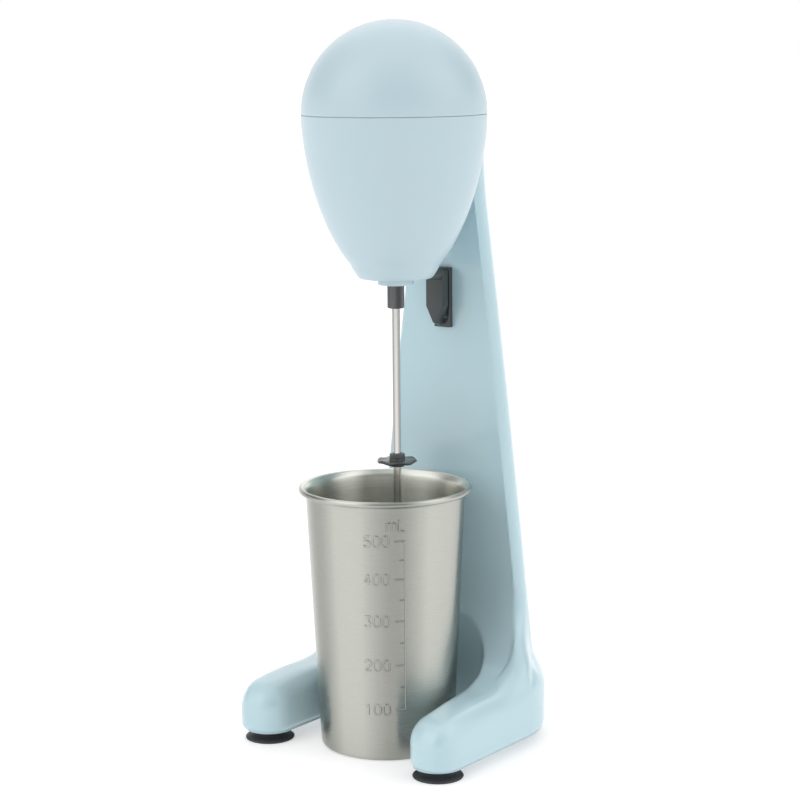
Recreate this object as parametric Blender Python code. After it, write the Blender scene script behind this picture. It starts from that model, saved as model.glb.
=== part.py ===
"""Milkshake mixer: a stand with two legs, a motor head, a pull-off spindle and a steel cup.

Sizes are in millimetres and are turned into metres where a mesh is made. Every piece hangs from one
empty on the spindle axis at table height, so a piece's own X and Y are measured from that axis.
The user stands at -Y, and +Z is up.
"""

import math

import bmesh
import bpy
from mathutils import Matrix, Vector

MM = 0.001
GAP = 0.3
WALL = 2.5
ROUND = 40
POST_RADIUS = 3.4
HOLE_RADIUS = 1.8
FOOT_STEM = 3.0

# Stand: two legs that run back into a heel, with a U-shaped space for the cup between them.
BASE_BOTTOM = 8.3
BASE_TOP = 34.5
BASE_EDGE = 12.0
LEG_OUTSIDE = 69.5
LEG_INSIDE = 41.4
LEG_NOSE_Y = -42.3
NOSE_LEAN = 1.6
HEEL_REAR = 69.0
HEEL_RADIUS = 44.0
RECESS_REAR = 39.0
RECESS_RADIUS = 28.0
PLATE_BOTTOM = 5.5
PLATE_INSET = 1.2
NOSE_RADIUS = (LEG_OUTSIDE - LEG_INSIDE) / 2
NOSE_X = (LEG_OUTSIDE + LEG_INSIDE) / 2

# Column: tapers upwards, its front runs down into the legs as a concave skirt.
COLUMN_FRONT = 44.3
COLUMN_REAR = 66.4
COLUMN_TOP = 322.0
COLUMN_HALF_WIDTH = 59.8
COLUMN_TAPER = 0.138
COLUMN_RIM = 6.0
COLUMN_BACK_RADIUS = 22.0
COLUMN_TOP_EDGE = 9.0
SKIRT_RADIUS = 50.0
COVER_SPLIT_Y = 58.0
COVER_BOTTOM = 40.0

# Head: a half sphere over an egg-shaped lower shell, both turned about the spindle axis.
HEAD_RADIUS = 48.1
SEAM_Z = 332.3
SEAM_WIDTH = 0.5
EGG_DEPTH = 90.7
EGG_POWER = 1.7
EGG_END = 82.0
HEAD_BOTTOM = 247.5
HEAD_FLAT_RADIUS = 16.0

# Motor and the line of parts on its shaft.
CAN_RADIUS = 26.0
CAN_BOTTOM = 267.0
CAN_TOP = 322.0
SHAFT_RADIUS = 2.5
SHAFT_BORE = SHAFT_RADIUS + GAP
SHAFT_BOTTOM = 246.3
SHAFT_TOP = 341.0
MOUNT_BOTTOM = 264.0
MOUNT_TOP = 266.6
COMMUTATOR_RADIUS = 7.0

# Spindle.
COUPLING_RADIUS = 4.5
COUPLING_BOTTOM = 231.8
ROD_RADIUS = 2.1
ROD_TOP = 243.2
ROD_BOTTOM = 27.5
MIXING_DISC_Z = 150.7
MIXING_DISC_RADIUS = 10.6

# Cup, standing on the table a little in front of the spindle axis.
CUP_Y = -10.7
CUP_BASE_RADIUS = 35.3
CUP_TOP_RADIUS = 41.7
CUP_RIM_RADIUS = 44.1
CUP_RIM_Z = 138.0
CUP_BEAD = 1.5
CUP_WALL = 0.9

# Switch on the column, under the head.
SWITCH_Z = 233.3
SWITCH_HEIGHT = 32.3
SWITCH_WIDTH = 10.4
BEZEL_THICKNESS = 2.5
PADDLE_FRONT = 34.0
PIVOT_Y = 47.5

FEET = {
    "foot_front_right": (NOSE_X, LEG_NOSE_Y),
    "foot_front_left": (-NOSE_X, LEG_NOSE_Y),
    "foot_rear_right": (44.0, 42.0),
    "foot_rear_left": (-44.0, 42.0),
}
BASE_SCREWS = {
    "base_screw_front_right": (NOSE_X, -18.0),
    "base_screw_front_left": (-NOSE_X, -18.0),
    "base_screw_rear_right": (58.0, 20.0),
    "base_screw_rear_left": (-58.0, 20.0),
}
COVER_SCREWS = {
    "cover_screw_top": (0.0, 285.0),
    "cover_screw_lower_right": (24.0, 66.0),
    "cover_screw_lower_left": (-24.0, 66.0),
}
HEAD_SCREWS = {"head_screw_upper": (0.0, 314.0), "head_screw_lower": (0.0, 304.0)}
MOTOR_SCREWS = {"motor_screw_right": (13.0, 5.0), "motor_screw_left": (-13.0, -5.0)}
INLET_Z = 50.0

SPINDLE_Y = -(HEEL_REAR + LEG_NOSE_Y - NOSE_RADIUS) / 2


def clear_scene():
    for item in list(bpy.data.objects):
        bpy.data.objects.remove(item, do_unlink=True)


def principled(name, colour, roughness, metallic=0.0):
    made = bpy.data.materials.new(name)
    made.use_nodes = True
    shader = made.node_tree.nodes["Principled BSDF"]
    shader.inputs["Base Color"].default_value = (*colour, 1.0)
    shader.inputs["Roughness"].default_value = roughness
    shader.inputs["Metallic"].default_value = metallic
    made.diffuse_color = (*colour, 1.0)
    return made


def add_object(name, bm, material, smooth=True):
    """Turns a bmesh in millimetres into an object that hangs from the spindle-axis empty."""
    bmesh.ops.scale(bm, vec=(MM, MM, MM), verts=bm.verts)
    bmesh.ops.recalc_face_normals(bm, faces=bm.faces)
    mesh = bpy.data.meshes.new(name)
    bm.to_mesh(mesh)
    bm.free()
    if smooth:
        mesh.shade_smooth()
        mesh.set_sharp_from_angle(angle=math.radians(32))
    made = bpy.data.objects.new(name, mesh)
    bpy.context.scene.collection.objects.link(made)
    made.parent = AXIS
    if material:
        mesh.materials.append(material)
    else:
        made.hide_render = True
        made.display_type = "WIRE"
    return made


def boolean(target, tool, operation="DIFFERENCE"):
    modifier = target.modifiers.new(f"{operation.lower()}_{tool.name}", "BOOLEAN")
    modifier.operation = operation
    modifier.solver = "EXACT"
    modifier.object = tool


def arc(centre, radius, start, end, steps):
    """Points on an arc, with its angles in degrees."""
    points = []
    for step in range(steps + 1):
        angle = math.radians(start + (end - start) * step / steps)
        points.append((centre[0] + radius * math.cos(angle), centre[1] + radius * math.sin(angle)))
    return points


def loft(name, rings, material, smooth=True):
    """Closed solid through rings of equally many points, with a flat cap on each end."""
    bm = bmesh.new()
    rows = [[bm.verts.new(point) for point in ring] for ring in rings]
    count = len(rows[0])
    for lower, upper in zip(rows, rows[1:]):
        for i in range(count):
            j = (i + 1) % count
            bm.faces.new((lower[i], lower[j], upper[j], upper[i]))
    bm.faces.new(list(reversed(rows[0])))
    bm.faces.new(rows[-1])
    return add_object(name, bm, material, smooth)


def turned(name, profile, material, at=(0.0, 0.0), steps=ROUND, along=None):
    """Closed solid turned about +Z from an outline of (radius, height) points.

    at is the axis in X and Y. along turns the solid's +Z onto another direction about the origin.
    The first corner is half a step round, so no edge lies in the planes X = 0 and Y = 0.
    """
    bm = bmesh.new()
    rows = []
    for radius, height in profile:
        if radius < 1e-6:
            rows.append([bm.verts.new((0.0, 0.0, height))] * steps)
            continue
        half = 180.0 / steps
        ring = arc((0.0, 0.0), radius, half, 360.0 - half, steps - 1)
        rows.append([bm.verts.new((x, y, height)) for x, y in ring])
    pairs = list(zip(rows, rows[1:]))
    if profile[0][0] > 1e-6:
        pairs.append((rows[-1], rows[0]))
    for lower, upper in pairs:
        for i in range(steps):
            j = (i + 1) % steps
            corners = []
            for corner in (lower[i], lower[j], upper[j], upper[i]):
                if corner not in corners:
                    corners.append(corner)
            if len(corners) > 2:
                bm.faces.new(corners)
    if along:
        turn = Vector((0, 0, 1)).rotation_difference(Vector(along)).to_matrix()
        bmesh.ops.rotate(bm, cent=(0, 0, 0), matrix=turn, verts=bm.verts)
    made = add_object(name, bm, material)
    made.location = (at[0] * MM, at[1] * MM, (at[2] if len(at) > 2 else 0.0) * MM)
    return made


def tube_profile(inner, outer, bottom, top):
    return [(inner, bottom), (outer, bottom), (outer, top), (inner, top)]


def box(name, low, high, material):
    bm = bmesh.new()
    size = [b - a for a, b in zip(low, high)]
    middle = [(a + b) / 2 for a, b in zip(low, high)]
    bmesh.ops.create_cube(bm, size=1.0, matrix=Matrix.Translation(middle) @ Matrix.Diagonal((*size, 1.0)))
    return add_object(name, bm, material, smooth=False)


def extruded(name, outline, axis, low, high, material, smooth=False):
    """Prism of an outline given in the two axes other than axis (0 is X, 1 is Y, 2 is Z)."""
    rings = []
    for level in (low, high):
        ring = []
        for first, second in outline:
            point = [first, second]
            point.insert(axis, level)
            ring.append(point)
        rings.append(ring)
    return loft(name, rings, material, smooth)


# --- Stand -------------------------------------------------------------------------------------


def base_outline(inset, lean=0.0):
    """The base seen from above, shrunk by inset all round. The noses of the legs shrink back more."""
    outer = LEG_OUTSIDE - inset
    nose = NOSE_RADIUS - inset
    nose_y = LEG_NOSE_Y + NOSE_LEAN * lean
    heel = HEEL_RADIUS - inset
    recess = RECESS_RADIUS + inset
    recess_x = LEG_INSIDE - RECESS_RADIUS
    recess_y = RECESS_REAR - RECESS_RADIUS
    heel_x = LEG_OUTSIDE - HEEL_RADIUS
    heel_y = HEEL_REAR - HEEL_RADIUS
    right = arc((heel_x, heel_y), heel, 90, 0, 9)
    right += [(outer, 0.0)]
    right += arc((NOSE_X, nose_y), nose, 0, -180, 14)
    right += [(LEG_INSIDE + inset, 0.0)]
    right += arc((recess_x, recess_y), recess, 0, 90, 6)
    left = [(-x, y) for x, y in reversed(right)]
    return right + left


def base_block(name, inset, bottom, top, edge, material):
    """The base as a solid with rounded upper edges."""
    levels = [(bottom, 0.0), (top - edge, 0.0)]
    for step in range(1, 6):
        angle = math.radians(18 * step)
        levels.append((top - edge + edge * math.sin(angle), edge * (1 - math.cos(angle))))
    rings = []
    for z, shrink in levels:
        rings.append([(x, y, z) for x, y in base_outline(inset + shrink, shrink)])
    return loft(name, rings, material)


def column_half_width(z):
    return COLUMN_HALF_WIDTH - COLUMN_TAPER * z


def skirt_front(z):
    """Front of the column at a height: a quarter circle that runs out into the legs."""
    centre_z = BASE_TOP - 0.5 + SKIRT_RADIUS
    if z >= centre_z:
        return COLUMN_FRONT
    rise = min(SKIRT_RADIUS, centre_z - z)
    return COLUMN_FRONT - SKIRT_RADIUS + math.sqrt(SKIRT_RADIUS**2 - rise**2)


def column_block(name, inset, bottom, top, edge, material):
    """The column and its skirt as a solid, shrunk by inset all round."""
    centre_z = BASE_TOP - 0.5 + SKIRT_RADIUS
    levels = [(bottom, 0.0)]
    for degrees in (0, 12, 24, 36, 50, 68, 90):
        z = centre_z - SKIRT_RADIUS * math.cos(math.radians(degrees))
        levels.append((z, 0.0))
    levels += [(130.0, 0.0), (200.0, 0.0), (260.0, 0.0), (top - edge, 0.0)]
    for step in range(1, 5):
        angle = math.radians(22.5 * step)
        levels.append((top - edge + edge * math.sin(angle), edge * (1 - math.cos(angle))))
    rings = []
    for z, shrink in levels:
        cut = inset + shrink
        half = column_half_width(z) - cut
        front = skirt_front(z) + inset
        rear = COLUMN_REAR - cut
        rim = max(1.0, COLUMN_RIM - inset)
        back = min(COLUMN_BACK_RADIUS - inset, half - 1.0, rear - front - rim - 0.5)
        side = arc((half - back, rear - back), back, 90, 0, 6)
        side += arc((half - rim, front + rim), rim, 0, -90, 4)
        ring = side + [(-x, y) for x, y in reversed(side)]
        rings.append([(x, y, z) for x, y in ring])
    return loft(name, rings, material)


def egg_radius(z):
    depth = max(0.0, SEAM_Z - z)
    return HEAD_RADIUS * math.sqrt(max(0.0, 1.0 - (depth / EGG_DEPTH) ** EGG_POWER))


def head_outline(offset, top=None):
    """Outline of the lower shell, from its flat bottom up to the seam, grown by offset."""
    points = [(HEAD_FLAT_RADIUS + offset, HEAD_BOTTOM - offset)]
    first = SEAM_Z - EGG_END
    corner = egg_radius(first)
    points.append((corner - 0.5 + offset * 0.9, HEAD_BOTTOM + 1.0 - offset * 0.5))
    steps = 9
    last = SEAM_Z if top is None else top
    for step in range(steps + 1):
        share = step / steps
        z = first + (SEAM_Z - first) * share**0.8
        points.append((egg_radius(z) + offset, min(z, last)))
    return points


def pegs(name, places, radius):
    """One tool of separate cylinders, each given by the middles of its two ends."""
    bm = bmesh.new()
    for start, end in places:
        run = Vector(end) - Vector(start)
        turn = Vector((0, 0, 1)).rotation_difference(run).to_matrix().to_4x4()
        place = Matrix.Translation((Vector(start) + Vector(end)) / 2) @ turn
        bmesh.ops.create_cone(
            bm, cap_ends=True, segments=15, radius1=radius, radius2=radius, depth=run.length, matrix=place
        )
    return add_object(name, bm, None)


def upright(places, bottom, top):
    """Ends of vertical cylinders at places of (x, y)."""
    return [((x, y, bottom), (x, y, top)) for x, y in places.values()]


def lengthwise(places, front, rear):
    """Ends of cylinders along Y at places of (x, z)."""
    return [((x, front, z), (x, rear, z)) for x, z in places.values()]


def stand_housing(blue):
    housing = base_block("stand_housing", 0.0, BASE_BOTTOM, BASE_TOP, BASE_EDGE, blue)
    column = column_block("tool_column", 0.0, 20.0, COLUMN_TOP, COLUMN_TOP_EDGE, None)
    boolean(housing, column, "UNION")

    recess = [(LEG_INSIDE, -90.0), (LEG_INSIDE, RECESS_REAR - RECESS_RADIUS)]
    recess += arc((LEG_INSIDE - RECESS_RADIUS, RECESS_REAR - RECESS_RADIUS), RECESS_RADIUS, 10, 90, 8)
    recess += [(-x, y) for x, y in reversed(recess)]
    boolean(housing, extruded("tool_recess", recess, 2, -10.0, 120.0, None))

    boolean(housing, head_cutter("tool_head_seat", GAP))

    base_hollow = base_block(
        "tool_base_hollow", WALL, BASE_BOTTOM - 5.0, BASE_TOP - WALL, BASE_EDGE - WALL, None
    )
    boolean(housing, base_hollow)
    boolean(housing, column_hollow("tool_column_hollow"))
    rear_cut = box("tool_rear_cut", (-90, COVER_SPLIT_Y, COVER_BOTTOM), (90, 120, 400), None)
    boolean(housing, rear_cut)

    post_rear = COLUMN_REAR - WALL - GAP
    posts = upright(BASE_SCREWS, BASE_BOTTOM + GAP, BASE_TOP - WALL / 2)
    for x, z in COVER_SCREWS.values():
        posts.append(((x, skirt_front(z) + WALL / 2, z), (x, post_rear, z)))
    boolean(housing, pegs("tool_housing_posts", posts, POST_RADIUS), "UNION")
    holes = upright(BASE_SCREWS, BASE_BOTTOM - 2.0, BASE_BOTTOM + 11.0)
    holes += lengthwise(COVER_SCREWS, post_rear - 11.0, post_rear + 5.0)
    holes += lengthwise(HEAD_SCREWS, 30.0, 56.0)
    boolean(housing, pegs("tool_housing_holes", holes, HOLE_RADIUS))
    boolean(housing, switch_window("tool_switch_window"))
    return housing


def head_cutter(name, offset):
    """The lower shell's outside as a solid that runs straight up past the seam."""
    profile = [(0.0, HEAD_BOTTOM - offset)] + head_outline(offset)
    profile += [(HEAD_RADIUS + offset, 400.0), (0.0, 400.0)]
    return turned(name, profile, None)


def column_hollow(name):
    """The space in the column. It leaves a wall round the recess, the head and the front."""
    hollow = column_block(name, WALL, 12.0, COLUMN_TOP - WALL, COLUMN_TOP_EDGE - WALL, None)
    boolean(hollow, head_cutter(f"{name}_head", GAP + WALL))
    recess = [(LEG_INSIDE + WALL, -90.0), (LEG_INSIDE + WALL, RECESS_REAR - RECESS_RADIUS)]
    corner = (LEG_INSIDE - RECESS_RADIUS, RECESS_REAR - RECESS_RADIUS)
    recess += arc(corner, RECESS_RADIUS + WALL, 10, 90, 8)
    recess += [(-x, y) for x, y in reversed(recess)]
    boolean(hollow, extruded(f"{name}_recess", recess, 2, -10.0, 120.0, None))
    return hollow


def back_cover(blue):
    cover = column_block("back_cover", 0.0, 20.0, COLUMN_TOP, COLUMN_TOP_EDGE, blue)
    keep = box("tool_cover_keep", (-90, COVER_SPLIT_Y + GAP, COVER_BOTTOM + GAP), (90, 120, 400), None)
    boolean(cover, keep, "INTERSECT")
    hollow = column_block(
        "tool_cover_hollow", WALL, 12.0, COLUMN_TOP - WALL, COLUMN_TOP_EDGE - WALL, None
    )
    boolean(cover, hollow)
    boolean(cover, pegs("tool_cover_holes", lengthwise(COVER_SCREWS, 55.0, 80.0), HOLE_RADIUS))
    boolean(cover, pegs("tool_inlet_hole", [((0.0, 55.0, INLET_Z), (0.0, 80.0, INLET_Z))], 5.3))
    return cover


def base_plate(grey):
    outline = base_outline(PLATE_INSET)
    plate = extruded("base_plate", outline, 2, PLATE_BOTTOM, BASE_BOTTOM - GAP, grey)
    boolean(plate, pegs("tool_plate_screw_holes", upright(BASE_SCREWS, 0.0, 15.0), HOLE_RADIUS))
    boolean(plate, pegs("tool_plate_foot_holes", upright(FEET, 0.0, 15.0), FOOT_STEM + 2 * GAP))
    return plate


def foot(name, at, rubber):
    """Flared rubber foot with a stem that is pushed through the base plate."""
    knob = BASE_BOTTOM + GAP
    profile = [
        (0.0, 0.8), (7.0, 0.8), (11.0, 0.0), (13.0, 0.0), (13.25, 0.5), (13.0, 1.2), (9.5, 2.4),
        (7.6, 5.2), (FOOT_STEM, 5.2), (FOOT_STEM, knob), (4.6, knob), (3.0, 11.5), (0.0, 11.5),
    ]
    return turned(name, profile, rubber, at, 20)


def screw(name, steel, at, along, length=10.0):
    """Pan-head screw. Its underside is at its origin and its shank runs along +along."""
    profile = [
        (0.0, -0.8), (1.0, -1.7), (2.2, -1.6), (3.0, -0.7), (3.0, 0.0), (1.5, 0.0),
        (1.5, length - 1.5), (0.0, length),
    ]
    return turned(name, profile, steel, at, 10, along=along)


def fasteners(steel):
    for name, (x, y) in BASE_SCREWS.items():
        screw(name, steel, (x, y, PLATE_BOTTOM - GAP), (0, 0, 1))
    for name, (x, z) in COVER_SCREWS.items():
        screw(name, steel, (x, COLUMN_REAR + GAP, z), (0, -1, 0))
    for name, (x, z) in HEAD_SCREWS.items():
        seat = egg_radius(z) + WALL + 3 * GAP
        screw(name, steel, (x, seat, z), (0, -1, 0), 9.0)
    for name, (x, y) in MOTOR_SCREWS.items():
        screw(name, steel, (x, y, MOUNT_BOTTOM - GAP), (0, 0, 1), 7.0)


def cord_inlet(black):
    """Rubber grommet in the back cover, where the cord comes in."""
    rear = COLUMN_REAR + GAP
    front = COLUMN_REAR - WALL - GAP
    profile = [
        (3.2, front - 2.0), (6.6, front - 2.0), (6.6, front), (5.0, front), (5.0, rear),
        (6.9, rear), (6.6, rear + 1.8), (3.2, rear + 2.0),
    ]
    return turned("cord_inlet_grommet", profile, black, (0.0, 0.0, INLET_Z), 32, along=(0, 1, 0))


# --- Head --------------------------------------------------------------------------------------


def motor_housing(blue):
    outside = head_outline(0.0, SEAM_Z - SEAM_WIDTH / 2)
    inside = []
    for radius, z in reversed(head_outline(-WALL, SEAM_Z - SEAM_WIDTH / 2)[1:]):
        inside.append((max(radius, HEAD_FLAT_RADIUS - 1.0), max(z, HEAD_BOTTOM + WALL)))
    inside = [point for i, point in enumerate(inside) if i == 0 or point != inside[i - 1]]
    profile = [(8.3, HEAD_BOTTOM)] + outside + inside + [(8.3, HEAD_BOTTOM + WALL)]
    shell = turned("motor_housing", profile, blue)
    bosses = []
    for x, z in HEAD_SCREWS.values():
        rear = egg_radius(z - POST_RADIUS) - WALL / 2
        bosses.append(((x, rear - 9.0, z), (x, rear, z)))
    boolean(shell, pegs("tool_head_bosses", bosses, POST_RADIUS), "UNION")
    boolean(shell, pegs("tool_head_boss_holes", lengthwise(HEAD_SCREWS, 31.0, 60.0), HOLE_RADIUS))
    return shell


def dome_cover(blue):
    base = SEAM_Z + SEAM_WIDTH / 2
    outside = arc((0.0, SEAM_Z), HEAD_RADIUS, 0, 90, 12)
    inside = arc((0.0, SEAM_Z), HEAD_RADIUS - WALL, 90, 0, 8)
    profile = [(r, max(z, base)) for r, z in inside + outside]
    return turned("dome_cover", profile, blue)


def collar_bush(blue):
    """Bush in the bottom of the head. The coupling turns in it."""
    profile = [
        (4.9, 244.2), (9.1, 244.2), (9.45, 244.6), (9.45, HEAD_BOTTOM - GAP), (8.0, HEAD_BOTTOM - GAP),
        (8.0, 256.0), (4.9, 256.0),
    ]
    return turned("collar_bush", profile, blue, steps=28)


def motor_mount(steel):
    low = egg_radius(MOUNT_BOTTOM) - WALL - 0.8
    profile = [(4.0, MOUNT_BOTTOM), (low, MOUNT_BOTTOM), (low + 0.7, MOUNT_TOP), (4.0, MOUNT_TOP)]
    plate = turned("motor_mount", profile, steel, steps=28)
    boolean(plate, pegs("tool_mount_holes", upright(MOTOR_SCREWS, 255.0, 270.0), HOLE_RADIUS))
    return plate


def motor(materials):
    inner = CAN_RADIUS - 1.6
    can_profile = [
        (4.0, CAN_BOTTOM), (CAN_RADIUS - 1.5, CAN_BOTTOM), (CAN_RADIUS, CAN_BOTTOM + 1.5),
        (CAN_RADIUS, CAN_TOP), (inner, CAN_TOP), (inner, CAN_BOTTOM + 2.0), (4.0, CAN_BOTTOM + 2.0),
    ]
    can = turned("motor_can", can_profile, materials["steel"], steps=24)
    boolean(can, pegs("tool_can_holes", upright(MOTOR_SCREWS, 255.0, 272.0), HOLE_RADIUS))

    cap_profile = [
        (6.4, CAN_TOP + GAP), (CAN_RADIUS, CAN_TOP + GAP), (CAN_RADIUS, CAN_TOP + 3.5),
        (9.0, CAN_TOP + 5.0), (6.4, CAN_TOP + 5.0),
    ]
    turned("motor_end_cap", cap_profile, materials["black"], steps=24)
    turned(
        "upper_bearing", tube_profile(SHAFT_BORE, 6.1, CAN_TOP + 0.8, CAN_TOP + 4.8),
        materials["bronze"], steps=24,
    )
    turned("lower_bearing", tube_profile(SHAFT_BORE, 7.6, 257.0, 262.0), materials["bronze"], steps=24)

    for name, middle in (("magnet_right", 0.0), ("magnet_left", 180.0)):
        outline = arc((0.0, 0.0), inner - GAP, middle - 62, middle + 62, 16)
        outline += arc((0.0, 0.0), 20.6, middle + 62, middle - 62, 16)
        extruded(name, outline, 2, 274.0, 314.0, materials["magnet"], smooth=True)
    for name, side in (("brush_right", 1), ("brush_left", -1)):
        near = side * (COMMUTATOR_RADIUS + GAP)
        far = side * 16.0
        box(name, (min(near, far), -2.5, 313.0), (max(near, far), 2.5, 318.0), materials["carbon"])


def rotor(materials):
    """Everything that turns with the motor shaft, except the spindle."""
    shaft = [
        (0.0, SHAFT_BOTTOM), (SHAFT_RADIUS, SHAFT_BOTTOM), (SHAFT_RADIUS, SHAFT_TOP), (0.0, SHAFT_TOP),
    ]
    turned("motor_shaft", shaft, materials["steel"], steps=24)

    poles = 10
    outline = []
    for pole in range(poles):
        middle = 360.0 * pole / poles
        outline += arc((0.0, 0.0), 9.0, middle - 14.0, middle - 9.0, 1)
        outline += arc((0.0, 0.0), 17.6, middle - 5.0, middle - 5.0, 1)[:1]
        outline += arc((0.0, 0.0), 19.6, middle - 15.0, middle + 15.0, 3)
        outline += arc((0.0, 0.0), 17.6, middle + 5.0, middle + 5.0, 1)[:1]
        outline += arc((0.0, 0.0), 9.0, middle + 9.0, middle + 14.0, 1)
    core = extruded("armature", outline, 2, 279.0, 307.0, materials["copper"])
    bore = [(0.0, 270.0), (SHAFT_BORE, 270.0), (SHAFT_BORE, 312.0), (0.0, 312.0)]
    boolean(core, turned("tool_armature_bore", bore, None, steps=24))
    turned(
        "commutator", tube_profile(SHAFT_BORE, COMMUTATOR_RADIUS, 311.0, 319.5),
        materials["copper"], steps=24,
    )
    cooling_fan(materials["black"])

    socket_top = ROD_TOP + GAP
    coupling = [
        (0.0, socket_top), (ROD_RADIUS + GAP, socket_top), (ROD_RADIUS + GAP, COUPLING_BOTTOM),
        (COUPLING_RADIUS - 0.9, COUPLING_BOTTOM), (COUPLING_RADIUS, COUPLING_BOTTOM + 0.9),
        (COUPLING_RADIUS, 255.0), (SHAFT_BORE, 255.0), (SHAFT_BORE, SHAFT_BOTTOM - GAP),
        (0.0, SHAFT_BOTTOM - GAP),
    ]
    turned("drive_coupling", coupling, materials["black"], steps=24)


def cooling_fan(black):
    """Ring with a hub and straight blades, drawn as one outline and raised."""
    hub = tube_profile(SHAFT_BORE, 6.0, 329.5, 337.0)
    fan = turned("cooling_fan", hub, black, steps=24)
    plate = [(5.0, 329.5), (20.0, 329.5), (20.0, 331.0), (5.0, 331.0)]
    boolean(fan, turned("tool_fan_plate", plate, None, steps=24), "UNION")
    for number in range(8):
        bm = bmesh.new()
        place = Matrix.Rotation(math.radians(45.0 * number + 10.0), 4, "Z")
        place @= Matrix.Translation((12.2, 0.0, 333.5)) @ Matrix.Diagonal((14.0, 1.4, 6.4, 1.0))
        bmesh.ops.create_cube(bm, size=1.0, matrix=place)
        boolean(fan, add_object(f"tool_fan_blade_{number}", bm, None, smooth=False), "UNION")
    return fan


# --- Spindle, cup and switch -------------------------------------------------------------------


def spindle(materials):
    rod = [
        (0.0, ROD_BOTTOM), (ROD_RADIUS - 0.4, ROD_BOTTOM), (ROD_RADIUS, ROD_BOTTOM + 0.5),
        (ROD_RADIUS, ROD_TOP - 0.5), (ROD_RADIUS - 0.4, ROD_TOP), (0.0, ROD_TOP),
    ]
    turned("spindle_rod", rod, materials["steel"], steps=24)
    mixing_disc("mixing_disc_upper", MIXING_DISC_Z, MIXING_DISC_RADIUS, materials["black"])
    mixing_disc("mixing_disc_lower", ROD_BOTTOM + 5.0, MIXING_DISC_RADIUS + 3.0, materials["black"])


def mixing_disc(name, z, radius, material):
    """Wavy disc on a hub. The edge rises and falls so that it stirs."""
    waves = 6
    steps = 36
    bore = ROD_RADIUS + GAP
    profile = [
        (bore, z - 2.9, 0.0), (3.4, z - 2.9, 0.0), (4.1, z - 2.2, 0.0), (4.1, z - 0.9, 0.0),
        (radius - 0.4, z - 0.9, 0.9), (radius, z, 0.9), (radius - 0.4, z + 0.9, 0.9),
        (4.1, z + 0.9, 0.0), (4.1, z + 3.4, 0.0),
        (3.4, z + 4.1, 0.0), (bore, z + 4.1, 0.0),
    ]
    bm = bmesh.new()
    rows = []
    for r, height, wave in profile:
        row = []
        for step in range(steps):
            angle = math.tau * step / steps
            lift = wave * math.sin(waves * angle)
            row.append(bm.verts.new((r * math.cos(angle), r * math.sin(angle), height + lift)))
        rows.append(row)
    for lower, upper in zip(rows, rows[1:] + rows[:1]):
        for i in range(steps):
            j = (i + 1) % steps
            bm.faces.new((lower[i], lower[j], upper[j], upper[i]))
    return add_object(name, bm, material)


def cup(steel):
    slope = (CUP_TOP_RADIUS - CUP_BASE_RADIUS) / (CUP_RIM_Z - 5.0)
    top_z = CUP_RIM_Z - 4.0
    outside = [(0.0, 0.6), (CUP_BASE_RADIUS - 6.0, 0.6), (CUP_BASE_RADIUS - 4.5, 0.0)]
    outside += [(CUP_BASE_RADIUS - 2.6, 0.0)]
    outside += arc((CUP_BASE_RADIUS - 2.6, 2.6), 2.6, -60, 0, 3)
    outside += [(CUP_BASE_RADIUS + slope * 70.0, 70.0), (CUP_BASE_RADIUS + slope * top_z, top_z)]
    outside += [(CUP_TOP_RADIUS + 0.7, CUP_RIM_Z - 1.6)]
    bead = arc((CUP_RIM_RADIUS, CUP_RIM_Z), CUP_BEAD, -120, 130, 6)
    inner_top = CUP_RIM_RADIUS - CUP_BEAD - 0.6
    inside = [(inner_top, CUP_RIM_Z - 0.4), (CUP_BASE_RADIUS + slope * top_z - CUP_WALL, top_z)]
    inside += [(CUP_BASE_RADIUS + slope * 70.0 - CUP_WALL, 70.0), (CUP_BASE_RADIUS - CUP_WALL, 3.5)]
    inside += [(CUP_BASE_RADIUS - 2.4, 1.9), (CUP_BASE_RADIUS - 5.0, 1.5), (0.0, 1.5)]
    return turned("cup", outside + bead + inside, steel, (0.0, CUP_Y))


def switch_window(name):
    half = SWITCH_HEIGHT / 2 - 2.5
    return box(name, (-4.3, 40.0, SWITCH_Z - half), (4.3, 50.0, SWITCH_Z + half), None)


def switch(materials):
    front = COLUMN_FRONT - GAP - BEZEL_THICKNESS
    half = SWITCH_HEIGHT / 2
    wide = SWITCH_WIDTH / 2
    bezel = box(
        "switch_bezel", (-wide, front, SWITCH_Z - half), (wide, COLUMN_FRONT - GAP, SWITCH_Z + half),
        materials["black"],
    )
    slot = box("tool_bezel_slot", (-3.6, 30.0, SWITCH_Z - 11.5), (3.6, 60.0, SWITCH_Z + 11.5), None)
    boolean(bezel, slot)

    body_front = COLUMN_FRONT + WALL + GAP
    body = box(
        "switch_body", (-5.4, body_front, SWITCH_Z - 15.0), (5.4, body_front + 13.0, SWITCH_Z + 15.0),
        materials["black"],
    )
    pocket = box("tool_switch_pocket", (-3.6, 40.0, SWITCH_Z - 12.5), (3.6, 54.0, SWITCH_Z + 12.5), None)
    boolean(body, pocket)
    pin_hole = [(0.0, -9.0), (1.3, -9.0), (1.3, 9.0), (0.0, 9.0)]
    place = (0.0, PIVOT_Y + 1.8, SWITCH_Z)
    boolean(body, turned("tool_pin_hole_body", pin_hole, None, place, 16, along=(1, 0, 0)))
    pin = [(0.0, -5.2), (1.0, -5.2), (1.0, 5.2), (0.0, 5.2)]
    turned("switch_pivot_pin", pin, materials["steel"], place, 16, along=(1, 0, 0))
    paddle(materials["black"], front, place)


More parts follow.
